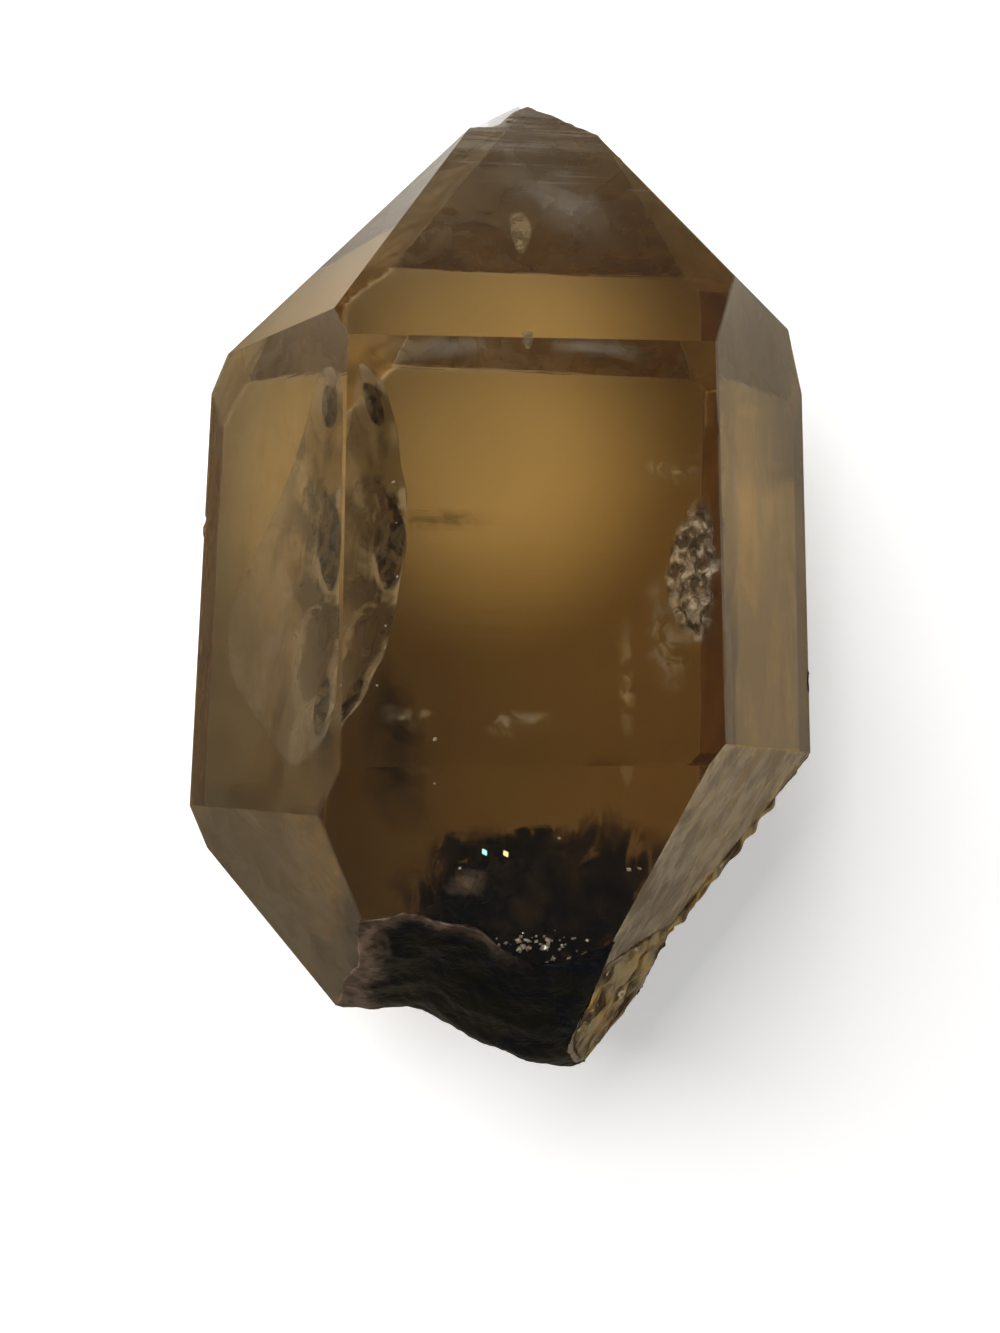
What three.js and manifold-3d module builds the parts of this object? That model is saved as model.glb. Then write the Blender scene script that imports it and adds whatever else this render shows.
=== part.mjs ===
// A citrine crystal point: one quartz crystal, lying on a prism face, with its c axis along +Y.
// Millimetres, +Z up. The origin is the middle of its footprint, on the surface it rests on.
// Quartz grows as a six-sided prism that six slanted faces close at each end. Here the upper
// point is whole but for a chip, and a rough fracture cuts the lower one short.

import * as THREE from "three";
import { mergeVertices } from "three/addons/utils/BufferGeometryUtils.js";
import { ImprovedNoise } from "three/addons/math/ImprovedNoise.js";
import Module from "manifold-3d";

const wasm = await Module();
wasm.setup();

// Driving dimensions. Every face is stated from the c axis and from mid-length on it.
const BLANK_RADIUS = 30; // round block that the faces are cut from
const BLANK_LENGTH = 100;
const CUTTER = 120; // side of the block that cuts one face

// Prism faces, every 60 degrees round the axis from the one that faces up. The distance is from
// the axis to the face. The taper, in degrees, leans the face in towards the upper point.
const PRISM_FACES = [
  { distance: 15.0, taper: 0.4 },
  { distance: 14.0, taper: 1.3 },
  { distance: 15.6, taper: -0.3 },
  { distance: 13.0, taper: 0 },
  { distance: 18.0, taper: 2.6 },
  { distance: 18.9, taper: 0.1 },
];

// Faces of the upper point. The slope is the angle between face and axis, close to the 38.2
// degrees of quartz, and the height is where the face would meet the axis.
const POINT_FACES = [
  { slope: 35.7, height: 32.0, turn: -1.0 },
  { slope: 41.3, height: 31.9, turn: -1.0 },
  { slope: 39.0, height: 32.4, turn: 0 },
  { slope: 38.2, height: 30.5, turn: 0 },
  { slope: 39.7, height: 31.9, turn: 0.4 },
  { slope: 39.9, height: 35.3, turn: 0.2 },
];

// Faces of the lower termination, whose own tip would lie off to the left of the break.
const BASE_FACES = [
  { slope: 35.6, height: 33.3, turn: 0.8 },
  { slope: 34.9, height: 31.1, turn: 1.2 },
  { slope: 35.9, height: 37.0, turn: -0.3 },
  { slope: 38.2, height: 36.0, turn: 0 },
  { slope: 36.9, height: 41.9, turn: 0.2 },
  { slope: 36.2, height: 40.7, turn: -2.1 },
];

// The fracture at the lower end. It climbs towards the face that looks up, and leaves a tongue
// of crystal standing lower than the rest, a little right of the axis.
const BREAK_CELL = 0.9; // facet size
const BREAK_LEVEL = -26.2;
const BREAK_CLIMB = 0.6; // climb for each millimetre above the axis
const BREAK_BEND = 1.6; // radius of the bend into the climb
const BREAK_ROUGHNESS = 0.6;
const BREAK_GRAIN = 5.5; // size of the lumps
const TONGUE_DROP = 4.0;
const TONGUE_X = 0.8;
const TONGUE_LEAN = 0.35; // how far its middle moves right for each millimetre below the axis
const TONGUE_LEFT = 6.0; // how far the tongue spreads to the left, to the right and up
const TONGUE_RIGHT = 4.2;
const TONGUE_UP = 7.0;

// The chip that takes the very tip off.
const TIP_CHIP = {
  point: [-0.3, 29.3, 1.6],
  normal: [0.46, 0.88, 0.13],
  size: 16,
  cell: 0.7,
  roughness: 0.35,
  grain: 3.2,
};

// The lower right face is stepped and corroded: one rough level that follows the face, and a
// rough riser where it steps out again near the fracture.
const CORRODED_LEVEL = {
  point: [13.0, -15.5, -1.1],
  normal: [0.7, -0.59, -0.4],
  size: 50,
  cell: 0.8,
  roughness: 0.3,
  grain: 2.6,
};
const CORRODED_RISER = {
  point: [8.1, -22.3, -0.5],
  normal: [0.82, 0.25, -0.51],
  size: 50,
  cell: 0.8,
  roughness: 0.4,
  grain: 3.1,
};

// Small knocks on the edges of the prism: place from the axis, and size.
const KNOCKS = [
  { at: [7.6, 6.6, 15.1], size: 0.4 },
  { at: [-21.5, 3.0, 0.9], size: 0.5 },
  { at: [17.3, -6.0, -1.6], size: 0.5 },
];

const noise = new ImprovedNoise();

function toSolid(geometry) {
  const bare = geometry.clone();
  bare.deleteAttribute("normal");
  bare.deleteAttribute("uv");
  const merged = mergeVertices(bare, 1e-4);
  return new wasm.Manifold(
    new wasm.Mesh({
      numProp: 3,
      vertProperties: Float32Array.from(merged.attributes.position.array),
      triVerts: Uint32Array.from(merged.index.array),
    }),
  );
}

function toGeometry(solid) {
  const mesh = solid.getMesh();
  const geometry = new THREE.BufferGeometry();
  geometry.setAttribute("position", new THREE.BufferAttribute(mesh.vertProperties, 3));
  geometry.setIndex(new THREE.BufferAttribute(mesh.triVerts, 1));
  geometry.computeVertexNormals();
  return geometry;
}

// Direction square to a face: turned round the c axis from straight up, raised towards +Y.
function faceNormal(turn, rise) {
  const around = THREE.MathUtils.degToRad(turn);
  const up = THREE.MathUtils.degToRad(rise);
  return new THREE.Vector3(
    Math.cos(up) * Math.sin(around),
    Math.sin(up),
    Math.cos(up) * Math.cos(around),
  );
}

// A block whose lower side lies on the plane that is square to the normal, at the distance.
function cutterOn(normal, distance) {
  const block = new THREE.BoxGeometry(CUTTER, CUTTER, CUTTER);
  block.translate(0, 0, CUTTER / 2 + distance);
  const turn = new THREE.Quaternion().setFromUnitVectors(new THREE.Vector3(0, 0, 1), normal);
  return toSolid(block.applyQuaternion(turn));
}

// Layered noise between about -1 and 1, the same on every run.
function lumps(x, y, z, size) {
  let sum = 0;
  for (const octave of [1, 2, 4]) {
    const k = octave / size;
    sum += noise.noise(x * k + 3.1 * octave, y * k + 7.7, z * k + 1.9) / octave;
  }
  return sum;
}

// A block standing on a square of small cells, with its lower side moved by a height function.
function roughCutter(size, cell, heightAt) {
  const cells = Math.round(size / cell);
  const block = new THREE.BoxGeometry(size, size, size, cells, cells, 1);
  block.translate(0, 0, size / 2);
  const places = block.attributes.position;
  for (let i = 0; i < places.count; i += 1) {
    if (places.getZ(i) < size / 4) {
      places.setZ(i, heightAt(places.getX(i), places.getY(i)));
    }
  }
  return block;
}

function crystalBlank() {
  const outline = new THREE.Shape();
  outline.absarc(0, 0, BLANK_RADIUS, 0, 2 * Math.PI, false);
  const block = new THREE.ExtrudeGeometry(outline, {
    depth: BLANK_LENGTH,
    bevelEnabled: false,
    curveSegments: 6,
  });
  block.translate(0, 0, -BLANK_LENGTH / 2);
  block.rotateX(-Math.PI / 2);
  return toSolid(block);
}

function cutFaces(blank) {
  let solid = blank;
  PRISM_FACES.forEach(({ distance, taper }, side) => {
    const across = distance * Math.cos(THREE.MathUtils.degToRad(taper));
    solid = solid.subtract(cutterOn(faceNormal(60 * side, taper), across));
  });
  POINT_FACES.forEach(({ slope, height, turn }, side) => {
    const normal = faceNormal(60 * side + turn, slope);
    solid = solid.subtract(cutterOn(normal, height * normal.y));
  });
  BASE_FACES.forEach(({ slope, height, turn }, side) => {
    const normal = faceNormal(60 * side + turn, -slope);
    solid = solid.subtract(cutterOn(normal, -height * normal.y));
  });
  return solid;
}

// Level of the fracture along the c axis, for a place across (x) and up (z) from the axis.
function breakLevel(x, z) {
  const middle = TONGUE_X - TONGUE_LEAN * Math.min(z, 0);
  const aside = (x - middle) / (x < middle ? TONGUE_LEFT : TONGUE_RIGHT);
  const above = Math.max(z, 0) / TONGUE_UP;
  const tongue = TONGUE_DROP * Math.exp(-(aside ** 2) - above ** 2);
  const climb = BREAK_CLIMB * 0.5 * (z + Math.hypot(z, BREAK_BEND));
  return BREAK_LEVEL + climb - tongue + BREAK_ROUGHNESS * lumps(x, 0, z, BREAK_GRAIN);
}

function breakCutter() {
  const size = 2 * BLANK_RADIUS;
  const block = roughCutter(size, BREAK_CELL, (x, y) => -breakLevel(x, y));
  // The block's lower side faces +Y once it is turned: block x, y, z become x, -z, y.
  block.applyMatrix4(
    new THREE.Matrix4().set(1, 0, 0, 0, 0, 0, -1, 0, 0, 1, 0, 0, 0, 0, 0, 1),
  );
  return toSolid(block);
}

// A rough cutter whose lumpy side passes through the point and faces away from the normal.
function flakeCutter({ point, normal, size, cell, roughness, grain }) {
  const block = roughCutter(size, cell, (x, y) => roughness * lumps(x, y, 0, grain));
  const outward = new THREE.Vector3(...normal).normalize();
  block.applyQuaternion(
    new THREE.Quaternion().setFromUnitVectors(new THREE.Vector3(0, 0, 1), outward),
  );
  block.translate(...point);
  return toSolid(block);
}

function knockCutter({ at, size }) {
  const lump = new THREE.IcosahedronGeometry(size);
  lump.scale(1, 1.6, 1);
  lump.rotateX(at[1]);
  lump.translate(...at);
  return toSolid(lump);
}

function crystalGeometry() {
  let solid = cutFaces(crystalBlank());
  const corroded = flakeCutter(CORRODED_LEVEL).intersect(flakeCutter(CORRODED_RISER));
  for (const cutter of [corroded, flakeCutter(TIP_CHIP), breakCutter()]) {
    solid = solid.subtract(cutter);
  }
  for (const knock of KNOCKS) {
    solid = solid.subtract(knockCutter(knock));
  }
  const geometry = toGeometry(solid);
  geometry.computeBoundingBox();
  const { min, max } = geometry.boundingBox;
  return geometry.translate(-(min.x + max.x) / 2, -(min.y + max.y) / 2, -min.z);
}

const citrine = new THREE.MeshStandardMaterial({
  color: 0x8a6a38,
  roughness: 0.12,
  metalness: 0,
});

const crystal = new THREE.Mesh(crystalGeometry(), citrine);
crystal.name = "crystal";

const part = new THREE.Group();
part.add(crystal);

export default part;
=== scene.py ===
# %% [markdown]
# # A citrine crystal point
# Citrine is quartz, coloured smoky gold by traces of iron. This one crystal is a six-sided prism
# with a six-sided point, and its other end is broken off. It lies on one of its flat faces.
# The packed frame gives its true shape and size. This script gives it its finish: clear stone
# that bends and soaks up light, rough broken ends, and what grew or cracked inside it.

# %% The frame, which holds the crystal at its real size
import math

import bmesh
import bpy
import numpy as np
from mathutils import Matrix, Vector


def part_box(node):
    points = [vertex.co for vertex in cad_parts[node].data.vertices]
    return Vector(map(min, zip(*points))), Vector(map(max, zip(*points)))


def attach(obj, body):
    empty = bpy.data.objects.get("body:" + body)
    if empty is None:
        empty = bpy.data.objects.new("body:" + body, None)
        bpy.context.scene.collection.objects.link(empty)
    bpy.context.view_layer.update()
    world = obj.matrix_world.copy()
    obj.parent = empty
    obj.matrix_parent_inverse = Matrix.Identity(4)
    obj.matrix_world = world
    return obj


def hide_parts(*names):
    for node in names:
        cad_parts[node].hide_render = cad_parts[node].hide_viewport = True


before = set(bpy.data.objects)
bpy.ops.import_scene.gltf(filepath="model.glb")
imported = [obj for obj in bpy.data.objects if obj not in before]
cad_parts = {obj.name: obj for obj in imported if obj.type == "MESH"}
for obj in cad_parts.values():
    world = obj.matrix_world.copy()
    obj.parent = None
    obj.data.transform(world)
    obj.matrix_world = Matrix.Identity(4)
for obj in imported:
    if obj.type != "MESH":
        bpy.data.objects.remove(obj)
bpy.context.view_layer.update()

LOW, HIGH = (np.array(corner) * 1000 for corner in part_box("crystal"))
MM = 0.001
print("crystal, mm:", LOW.round(2), HIGH.round(2))

# %% [markdown]
# ## The camera
# The crystal is looked at from close above, about one and a half of its lengths away, so it is
# drawn with strong perspective. A long side of 36 mm and a lens of 48.6 mm see 40 degrees.

# %% The camera
CAMERA_PLACE = (-13.67, -16.47, 123.3)
CAMERA_AIM = (-2.46, -6.96, 28.0)
CAMERA_ROLL = 0.63
CAMERA_LENS = 48.6


def add_camera():
    """A camera that looks from its place to its aim, with +Y up, then rolled a little."""
    camera = bpy.data.objects.new("camera", bpy.data.cameras.new("camera"))
    bpy.context.scene.collection.objects.link(camera)
    camera.data.sensor_fit = "VERTICAL"
    camera.data.sensor_height = 36
    camera.data.lens = CAMERA_LENS
    camera.data.clip_start = 0.005
    place, aim = Vector(CAMERA_PLACE), Vector(CAMERA_AIM)
    back = (place - aim).normalized()
    right = Vector((0, 1, 0)).cross(back).normalized()
    up = back.cross(right)
    turn = Matrix((right, up, back)).transposed()
    roll = Matrix.Rotation(math.radians(CAMERA_ROLL), 3, "Z")
    camera.matrix_world = Matrix.Translation(place * MM) @ (turn @ roll).to_4x4()
    bpy.context.scene.camera = camera
    return camera


camera = add_camera()
print("camera at", [round(x, 4) for x in camera.location])

# %% [markdown]
# ## Directions and waves
# A face of a crystal is stated by how far it is turned round the long axis from straight up, and
# how far it is raised towards the point. Natural surfaces are never quite flat, so lumps come from
# a sum of sine waves: unlike random numbers at each point, that stays smooth however finely a
# piece is divided.

# %% Directions and waves
def face_basis(turn, rise):
    """Directions across a face, along it and square to it, turned and raised by these degrees."""
    t, r = math.radians(turn), math.radians(rise)
    out = np.array([math.cos(r) * math.sin(t), math.sin(r), math.cos(r) * math.cos(t)])
    across = np.array([math.cos(t), 0.0, -math.sin(t)])
    return across, np.cross(out, across), out


WAVE_COUNT = 28


def waves(points, size, seed):
    """Smooth random height, mostly -1 to 1: the sum of sine waves that run in random directions,
    each with a wavelength near size."""
    rng = np.random.default_rng(seed)
    ways = rng.normal(size=(WAVE_COUNT, 3))
    lengths = size * rng.uniform(0.6, 1.7, (WAVE_COUNT, 1))
    ways *= 2 * np.pi / (lengths * np.linalg.norm(ways, axis=1, keepdims=True))
    phases = rng.uniform(0, 2 * np.pi, WAVE_COUNT)
    return np.sin(points @ ways.T + phases).sum(1) / math.sqrt(WAVE_COUNT)


print("the face that looks up:", [way.round(3).tolist() for way in face_basis(0, 0)])

# %% [markdown]
# ## Pieces
# Each new piece is a mesh made from arrays of points and faces. It rides with the crystal, and it
# takes the material it is given. Where a material has to know how near it is to the
# rim, that number is stored at the points of the mesh, under the name reach.

# %% Pieces
def smooth_loop(corners, count):
    """A closed outline: its corners are cut twice, at a quarter and three quarters of each side,
    then count points lie on it at equal steps."""
    loop = np.array(corners, float)
    for _ in range(2):
        ahead = np.roll(loop, -1, 0)
        loop = np.stack([0.75 * loop + 0.25 * ahead, 0.25 * loop + 0.75 * ahead], 1)
        loop = loop.reshape(-1, 2)
    closed = np.vstack([loop, loop[:1]])
    run = np.concatenate([[0], np.cumsum(np.linalg.norm(np.diff(closed, axis=0), axis=1))])
    at = np.linspace(0, run[-1], count, endpoint=False)
    return np.stack([np.interp(at, run, closed[:, k]) for k in (0, 1)], 1)


def add_piece(name, points, faces, material, reach=None, smooth=True):
    """A mesh piece from points in millimetres. It rides with the crystal."""
    mesh = bpy.data.meshes.new(name)
    mesh.from_pydata((points * MM).tolist(), [], faces)
    mesh.polygons.foreach_set("use_smooth", np.full(len(mesh.polygons), smooth))
    if reach is not None:
        held = mesh.attributes.new("reach", "FLOAT", "POINT")
        held.data.foreach_set("value", reach.astype(np.float32))
    mesh.materials.append(material)
    piece = bpy.data.objects.new(name, mesh)
    bpy.context.scene.collection.objects.link(piece)
    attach(piece, "root")
    return piece


def loft_faces(loops, spokes):
    """Quads between neighbouring closed loops, and a fan of triangles to a pole at each end."""
    ring = np.arange(loops * spokes).reshape(loops, spokes)
    ahead = np.roll(ring, -1, 1)
    quads = np.stack([ring[:-1], ahead[:-1], ahead[1:], ring[1:]], -1).reshape(-1, 4)
    first = np.stack([np.full(spokes, loops * spokes), ahead[0], ring[0]], -1)
    last = np.stack([np.full(spokes, loops * spokes + 1), ring[-1], ahead[-1]], -1)
    return quads.tolist() + first.tolist() + last.tolist()


print("faces of a small loft:", len(loft_faces(3, 8)))

# %% [markdown]
# ## Lenses
# A fracture, a veil or a wisp in stone is a thin sheet. A single sheet of faces would have no
# inside, so each is a closed lens instead: two sides that meet in a sharp rim. It can be lumpy,
# and it can curl, as the surface of a real crack does.

# %% Lenses
RINGS = 25  # rings of points from the middle of a lens to its rim


def lens_shape(face, outline, thick, lumpy=0.2, grain=2.0, seed=1, spokes=120, curl=(0, 0)):
    """Points, reach and faces of a thin closed lens. Its points are middle + t (rim - middle),
    where the reach t runs from 0 to 1 and the rim is the outline. A lumpy height moves them off
    the plane, curl[0] times across times (along - curl[1]) squared bends it, and half of the
    thickness times the root of 1 - t squared parts the upper side from the lower."""
    turn, rise, distance = face
    across, along, out = face_basis(turn, rise)
    rim = smooth_loop(outline, spokes)
    middle = rim.mean(0)
    t = np.linspace(0, 1, RINGS + 1)[1:]
    t = np.concatenate([t, t[-2::-1]])
    side = np.where(np.arange(t.size) < RINGS, 1.0, -1.0)
    flat = (middle + t[:, None, None] * (rim - middle)).reshape(-1, 2)
    flat = np.vstack([flat, middle, middle])
    level = out * distance + flat[:, :1] * across + flat[:, 1:] * along
    height = lumpy * waves(level, grain, seed)
    height += curl[0] * flat[:, 0] * (flat[:, 1] - curl[1]) ** 2
    half = 0.5 * thick * side * np.sqrt(1 - t**2)
    half = np.concatenate([np.repeat(half, spokes), [0.5 * thick, -0.5 * thick]])
    reach = np.concatenate([np.repeat(t, spokes), [0, 0]])
    return level + (height + half)[:, None] * out, reach, loft_faces(t.size, spokes)


def lens(name, face, outline, material, **shape):
    """A lens as a piece of its own."""
    points, reach, faces = lens_shape(face, outline, **shape)
    return add_piece(name, points, faces, material, reach)


print("points in a lens of 120 spokes:", (2 * RINGS - 1) * 120 + 2)

# %% [markdown]
# ## The mottle group
# Patterns are made of layered noise on Object coordinates, so they stay where they are on the
# piece. The mottle group spreads the noise between two edges, which gives patches with soft or
# sharp borders. It is built once and placed in nearly every material, with its own values.

# %% The mottle group
def new_group(name, inputs, outputs):
    """An empty node group. Inputs are name, kind and value; outputs are name and kind."""
    group = bpy.data.node_groups.new(name, "ShaderNodeTree")
    for label, kind, value in inputs:
        socket = group.interface.new_socket(label, in_out="INPUT", socket_type=kind)
        if value is not None:
            socket.default_value = value
    for label, kind in outputs:
        group.interface.new_socket(label, in_out="OUTPUT", socket_type=kind)
    return group, group.nodes.new("NodeGroupInput"), group.nodes.new("NodeGroupOutput")


def make_mottle():
    """Patches: noise on stretched coordinates, spread between two edges into a mask."""
    inputs = [("Vector", "NodeSocketVector", None), ("Size", "NodeSocketFloat", 2.0),
              ("Stretch", "NodeSocketVector", (1, 1, 1)), ("Edge Low", "NodeSocketFloat", 0.4),
              ("Edge High", "NodeSocketFloat", 0.6), ("Twist", "NodeSocketFloat", 0.5),
              ("Detail", "NodeSocketFloat", 6.0)]
    outputs = [("Mask", "NodeSocketFloat"), ("Height", "NodeSocketFloat")]
    group, start, end = new_group("mottle", inputs, outputs)
    link = group.links.new
    scaled = group.nodes.new("ShaderNodeVectorMath")
    scaled.operation = "MULTIPLY"
    link(start.outputs["Vector"], scaled.inputs[0])
    link(start.outputs["Stretch"], scaled.inputs[1])
    rate = group.nodes.new("ShaderNodeMath")
    rate.operation = "DIVIDE"
    rate.inputs[0].default_value = 1 / MM
    link(start.outputs["Size"], rate.inputs[1])
    noise = group.nodes.new("ShaderNodeTexNoise")
    link(start.outputs["Detail"], noise.inputs["Detail"])
    link(scaled.outputs[0], noise.inputs["Vector"])
    link(rate.outputs[0], noise.inputs["Scale"])
    link(start.outputs["Twist"], noise.inputs["Distortion"])
    spread = group.nodes.new("ShaderNodeMapRange")
    spread.interpolation_type = "SMOOTHSTEP"
    link(noise.outputs[0], spread.inputs["Value"])
    link(start.outputs["Edge Low"], spread.inputs["From Min"])
    link(start.outputs["Edge High"], spread.inputs["From Max"])
    link(spread.outputs[0], end.inputs["Mask"])
    link(noise.outputs[0], end.inputs["Height"])
    return group


MOTTLE = make_mottle()
print("mottle group:", len(MOTTLE.nodes), "nodes")

# %% [markdown]
# ## Short ways to write a material
# A material is one shader and the nodes that feed it. Adding and linking each node by hand takes
# four lines, and this class does it in one, so a finish reads like a recipe: a mask, two colours
# that it mixes, a bump.

# %% Short ways to write a material
class Shades:
    """A new material with one Principled shader, and short ways to add the nodes that feed it."""

    def __init__(self, name, **plain):
        self.material = bpy.data.materials.new(name)
        self.material.use_nodes = True
        self.nodes = self.material.node_tree.nodes
        self.link = self.material.node_tree.links.new
        self.shader = self.nodes["Principled BSDF"]
        self.place = self.nodes.new("ShaderNodeTexCoord").outputs["Object"]
        for label, value in plain.items():
            self.shader.inputs[label.replace("_", " ")].default_value = value

    def mottle(self, size, edges, stretch=(1, 1, 1), twist=0.5, shift=(0, 0, 0), detail=6):
        """The mottle group on Object coordinates. The shift makes one mask unlike another."""
        moved = self.nodes.new("ShaderNodeMapping")
        moved.inputs["Location"].default_value = shift
        self.link(self.place, moved.inputs["Vector"])
        node = self.nodes.new("ShaderNodeGroup")
        node.node_tree = MOTTLE
        self.link(moved.outputs[0], node.inputs["Vector"])
        node.inputs["Size"].default_value = size
        node.inputs["Stretch"].default_value = stretch
        node.inputs["Edge Low"].default_value = edges[0]
        node.inputs["Edge High"].default_value = edges[1]
        node.inputs["Twist"].default_value = twist
        node.inputs["Detail"].default_value = detail
        return node

    def mix(self, share, first, second):
        """A colour between two others. The share and either colour may be sockets."""
        node = self.nodes.new("ShaderNodeMix")
        node.data_type = "RGBA"
        self.feed(share, node.inputs[0])
        self.feed(first, node.inputs[6])
        self.feed(second, node.inputs[7])
        return node.outputs[2]

    def sums(self, operation, first, second):
        """One sum on two numbers, either of which may be a socket."""
        node = self.nodes.new("ShaderNodeMath")
        node.operation = operation
        self.feed(first, node.inputs[0])
        self.feed(second, node.inputs[1])
        return node.outputs[0]

    def spread(self, value, low, high, to_low=0.0, to_high=1.0):
        """The value, spread smoothly from the range low to high onto another range."""
        node = self.nodes.new("ShaderNodeMapRange")
        node.interpolation_type = "SMOOTHSTEP"
        self.feed(value, node.inputs["Value"])
        for label, number in (("From Min", low), ("From Max", high),
                              ("To Min", to_low), ("To Max", to_high)):
            node.inputs[label].default_value = number
        return node.outputs[0]

    def feed(self, value, socket):
        """Links a socket, or sets a plain value."""
        if isinstance(value, bpy.types.NodeSocket):
            self.link(value, socket)
        elif isinstance(value, tuple) and len(value) == 3:
            socket.default_value = (*value, 1)
        else:
            socket.default_value = value

    def bump(self, height, depth, strength=1.0, under=None):
        """A Bump node whose height of 1 stands for depth in millimetres."""
        node = self.nodes.new("ShaderNodeBump")
        node.inputs["Strength"].default_value = strength
        node.inputs["Distance"].default_value = depth * MM
        self.link(height, node.inputs["Height"])
        if under is not None:
            self.link(under, node.inputs["Normal"])
        return node.outputs[0]

    def attribute(self, name):
        """A number held at the points of the piece itself."""
        node = self.nodes.new("ShaderNodeAttribute")
        node.attribute_name = name
        return node.outputs["Fac"]


print("what it can add:", [way for way in vars(Shades) if not way.startswith("_")])

# %% [markdown]
# ## The citrine
# Clear quartz is plain glass with an index of 1.544. Its gold comes from the light it soaks up on
# the way through: blue goes first, then green, and red last, so thick stone is browner than thin.
# A tinted surface would be simpler, but it would be as gold at a thin edge as through the middle.

# %% The citrine
SOAK_COLOUR = (0.875, 0.655, 0.11)
SOAK_DENSITY = 45.0


def citrine_material():
    """Clear gold stone, with growth lines square to the long axis and softly uneven faces. The
    underside of the point is frosted, so the floor is blurred where it is seen through it."""
    s = Shades("citrine", Base_Color=(1, 1, 1, 1), Transmission_Weight=1.0, IOR=1.544)
    lines = s.mottle(1.1, (0.35, 0.75), stretch=(0.05, 1, 0.05), twist=0.2)
    hills = s.mottle(7.0, (0.3, 0.7), twist=0.3, detail=1)
    haze = s.mottle(5.0, (0.5, 0.8), stretch=(1, 0.6, 1), shift=(0.3, 0, 0))
    split = s.nodes.new("ShaderNodeSeparateXYZ")
    s.link(s.place, split.inputs[0])
    low = s.spread(split.outputs["Z"], 13 * MM, 10 * MM)
    tip = s.spread(split.outputs["Y"], 13 * MM, 15 * MM)
    frost = s.sums("MULTIPLY", low, tip)
    clear = s.spread(haze.outputs["Mask"], 0, 1, 0.02, 0.12)
    s.link(s.sums("ADD", clear, s.sums("MULTIPLY", frost, 0.45)), s.shader.inputs["Roughness"])
    under = s.bump(hills.outputs["Height"], 0.06)
    s.link(s.bump(lines.outputs["Height"], 0.02, under=under), s.shader.inputs["Normal"])
    soak = s.nodes.new("ShaderNodeVolumeAbsorption")
    soak.inputs["Color"].default_value = (*SOAK_COLOUR, 1)
    soak.inputs["Density"].default_value = SOAK_DENSITY
    s.link(soak.outputs[0], s.nodes["Material Output"].inputs["Volume"])
    return s.material


CITRINE = citrine_material()
print("light left after 20 mm:", [round(math.exp(-SOAK_DENSITY * 0.02 * (1 - c)), 3)
                                  for c in SOAK_COLOUR])

# %% [markdown]
# ## The crystal's faces and its fracture
# The pieces inside the crystal have to stop short of its faces, and the films have the faces' own
# corners. Typing those numbers in would break the link with the frame, so they are measured here:
# flat triangles that lie in one plane are merged, and what stays small belongs to a rough break.

# %% The crystal's faces and its fracture, measured on the frame
ROUGH_FACE = 3.0  # square millimetres: what is smaller belongs to a fracture or a knock
ROUGH, WORN = 1, 2  # marks on the faces: broken, and worn round at the tip


def merged_crystal():
    """The packed crystal as a bmesh, with its triangles merged into whole faces. A small face is
    marked rough, unless it is a sliver in the plane of a large one."""
    work = bmesh.new()
    work.from_mesh(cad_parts["crystal"].data)
    work.faces.layers.int.new("rough")
    work.edges.layers.float.new("bevel_weight_edge")
    bmesh.ops.remove_doubles(work, verts=work.verts[:], dist=2e-6)
    bmesh.ops.dissolve_limit(work, angle_limit=math.radians(0.3), verts=work.verts[:],
                             edges=work.edges[:])
    mark = work.faces.layers.int["rough"]
    large = [f for f in work.faces if f.calc_area() > ROUGH_FACE * MM**2]
    for face in work.faces:
        middle = face.calc_center_median()
        face[mark] = all(face.normal.dot(f.normal) < 0.9999
                         or abs((middle - f.verts[0].co).dot(f.normal)) > 0.02 * MM for f in large)
    return work


def measure_faces():
    """Normals, distances from the origin and corners of the whole faces, and the fracture's own
    points, in millimetres."""
    work = merged_crystal()
    rough = work.faces.layers.int["rough"]
    whole = [f for f in work.faces if not f[rough]]
    normals = np.array([f.normal for f in whole])
    corners = [np.array([v.co for v in f.verts]) / MM for f in whole]
    distances = np.array([(n @ c.T).mean() for n, c in zip(normals, corners)])
    broken = {v for f in work.faces if f[rough] and f.normal.y < -0.25 for v in f.verts}
    points = np.array([v.co for v in broken]) / MM
    work.free()
    return normals, distances, corners, points[points[:, 1] < -20]


NORMALS, DISTANCES, CORNERS, FRACTURE = measure_faces()
print("whole faces:", len(NORMALS), "and fracture points:", len(FRACTURE))

# %% [markdown]
# ## The worn tip
# The point of a loose crystal rubs against everything it meets, so it is rounded and a little
# cloudy. A bevel can't round a corner where six faces and a chip come together. Here the tip is
# divided finely, and each point is pulled in towards a ball that touches the faces of the point.

# %% The worn tip
TIP_RADIUS = 3.6  # of the ball that rounds the tip


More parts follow.
